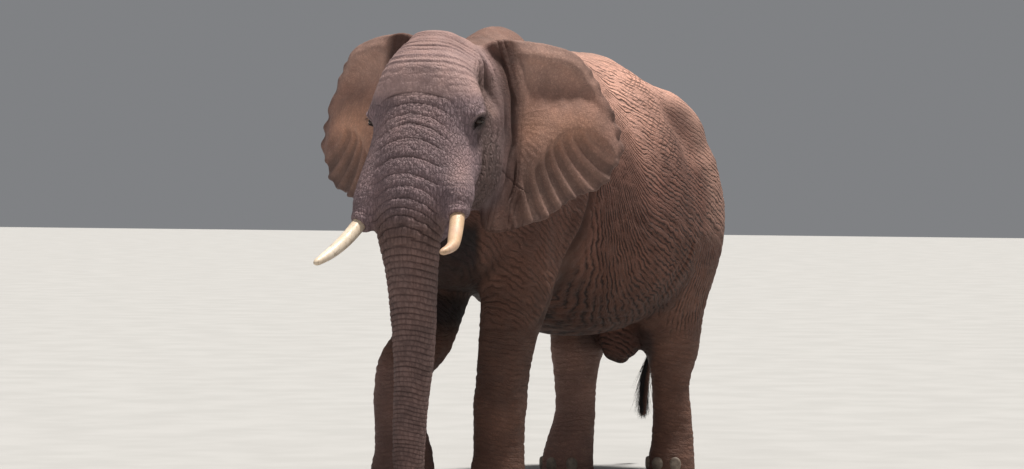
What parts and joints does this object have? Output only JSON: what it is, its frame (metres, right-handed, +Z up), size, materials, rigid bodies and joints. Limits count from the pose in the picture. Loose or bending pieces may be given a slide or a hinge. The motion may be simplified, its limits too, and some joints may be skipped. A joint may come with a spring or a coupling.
{
  "type": "african elephant",
  "caption": "Life-size still model of an african elephant bull standing mid-step, head turned to its left, ears half spread, trunk hanging, short upcurved tusks.",
  "frame": {"origin": "middle of the underside of the bounding box, level with the soles of the feet", "axes": "+Z up, -Y the way the body faces, +X the animal's left"},
  "size_m": [2.0835, 4.687, 3.1419],
  "materials": {
    "skin": "matt, wrinkled grey-brown hide with dried dust",
    "ivory": "satin ivory, yellowed, stained toward the tip",
    "eye": "wet glossy dark brown eye",
    "hair": "coarse black wiry hair"
  },
  "bodies": {
    "root": {"ear_left": "skin", "ear_right": "skin", "eye_left": "eye", "eye_right": "eye", "forefoot_left": "skin", "forefoot_right": "skin", "foreleg_left": "skin", "foreleg_right": "skin", "head": "skin", "hindfoot_left": "skin", "hindfoot_right": "skin", "hindleg_left": "skin", "hindleg_right": "skin", "lower_jaw": "skin", "neck": "skin", "tail": "skin", "tail_tuft": "hair", "thigh_left": "skin", "thigh_right": "skin", "torso": "skin", "trunk_lower": "skin", "trunk_middle": "skin", "trunk_tip": "skin", "trunk_upper": "skin", "tusk_left": "ivory", "tusk_right": "ivory", "upper_arm_left": "skin", "upper_arm_right": "skin"}
  },
  "joints": []
}
